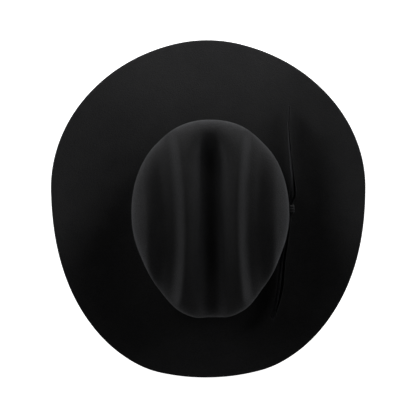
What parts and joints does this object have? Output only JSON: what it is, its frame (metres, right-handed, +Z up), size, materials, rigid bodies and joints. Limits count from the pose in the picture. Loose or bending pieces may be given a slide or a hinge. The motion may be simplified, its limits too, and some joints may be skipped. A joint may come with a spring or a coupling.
{
  "type": "cowboy hat",
  "caption": "Black felt western hat with a cattleman crease, a brim rolled at the sides and dipped front and back, a ribbon band with a side bow, a leather sweatband and a satin lining.",
  "frame": {"origin": "centre of the bounding box in plan, on the surface that the hat stands on", "axes": "+Z up, -Y towards the front of the hat, +X towards the wearer's left, where the bow sits"},
  "size_m": [0.356, 0.4108, 0.134],
  "materials": {
    "felt": "matte felt with a short nap",
    "grosgrain": "ribbed, slightly lustrous ribbon",
    "thread": "twisted sewing thread",
    "leather": "smooth fine-grained hat leather",
    "reed": "plain extruded plastic",
    "tape": "fine woven tape",
    "satin": "lustrous satin"
  },
  "bodies": {
    "root": {"felt_body": "felt", "hat_band": "grosgrain", "bow_rear_loop": "grosgrain", "bow_front_loop": "grosgrain", "bow_knot": "grosgrain", "bow_tack_stitch": "thread", "sweatband": "leather", "sweatband_reed": "reed", "reed_tape": "tape", "sweatband_stitching": "thread", "sweatband_seam_thread": "thread", "sweatband_bow_left": "grosgrain", "sweatband_bow_right": "grosgrain", "sweatband_bow_knot": "grosgrain", "lining_side": "satin", "lining_tip": "satin", "lining_piping": "satin"}
  },
  "joints": []
}
